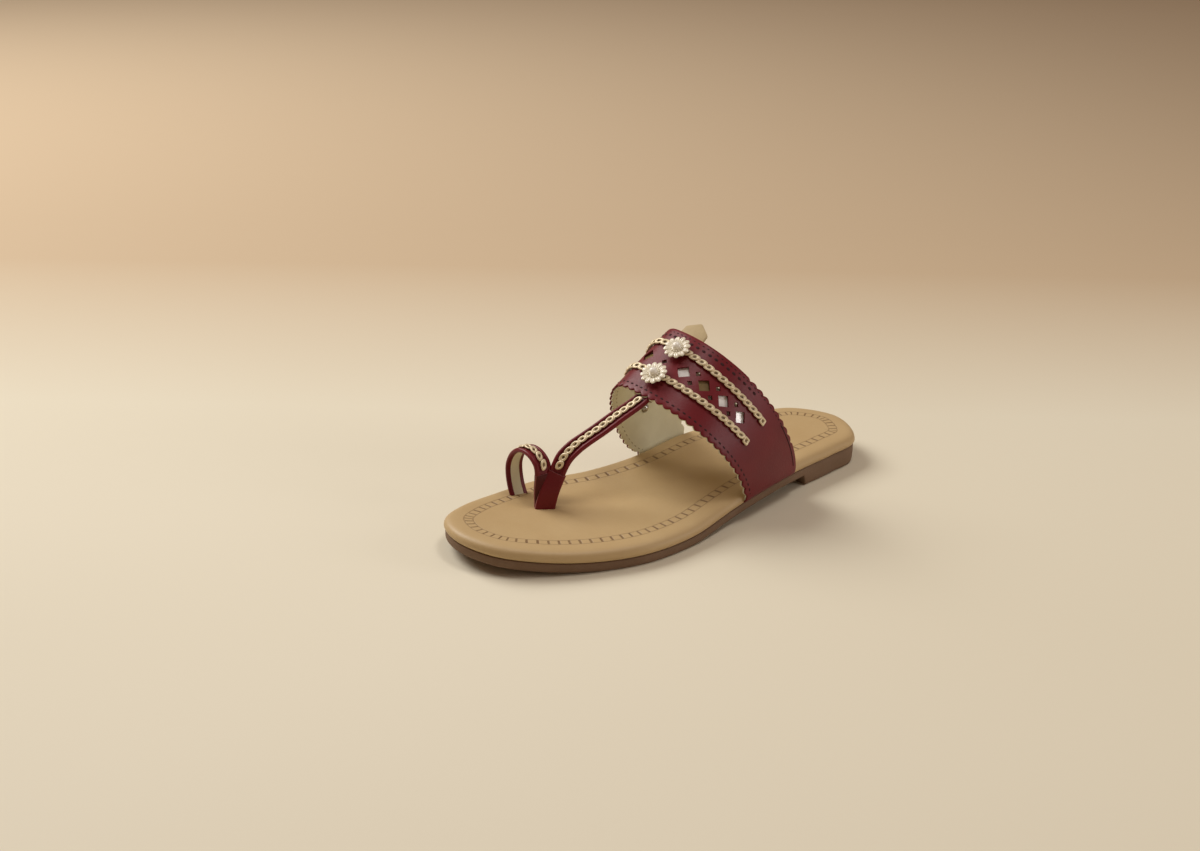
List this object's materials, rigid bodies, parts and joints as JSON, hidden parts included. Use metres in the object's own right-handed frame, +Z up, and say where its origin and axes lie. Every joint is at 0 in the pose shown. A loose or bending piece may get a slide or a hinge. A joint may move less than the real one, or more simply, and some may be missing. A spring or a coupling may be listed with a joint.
{
  "type": "sandal",
  "caption": "Left flat sandal with a toe loop, a T-strap and a pinked instep band with mirrors, braid and pearl florets.",
  "frame": {"origin": "on the ground, under the middle of the sandal's length and width", "axes": "+Z up, -Y towards the toe, +Y towards the heel, +X towards the outer side of the left foot"},
  "size_m": [0.0924, 0.2491, 0.0893],
  "materials": {
    "outsole_rubber": "matt",
    "footbed_leather": "smooth, low sheen",
    "upper_leather": "smooth, satin",
    "mirror_foil": "mirror",
    "braid": "pale gold, satin",
    "floret_beads": "glossy",
    "pearl": "pearly",
    "rivet_metal": "polished",
    "tab_leather": "matt"
  },
  "bodies": {
    "root": {"outsole": "outsole_rubber", "footbed": "footbed_leather", "upper": "upper_leather", "mirror_underlay": "mirror_foil", "chain_front": "braid", "chain_rear": "braid", "chain_tstrap": "braid", "chain_loop": "braid", "floret_front": "floret_beads", "floret_rear": "floret_beads", "pearl_front": "pearl", "pearl_rear": "pearl", "rivet_1": "rivet_metal", "rivet_2": "rivet_metal", "rear_tab": "tab_leather"}
  },
  "joints": []
}
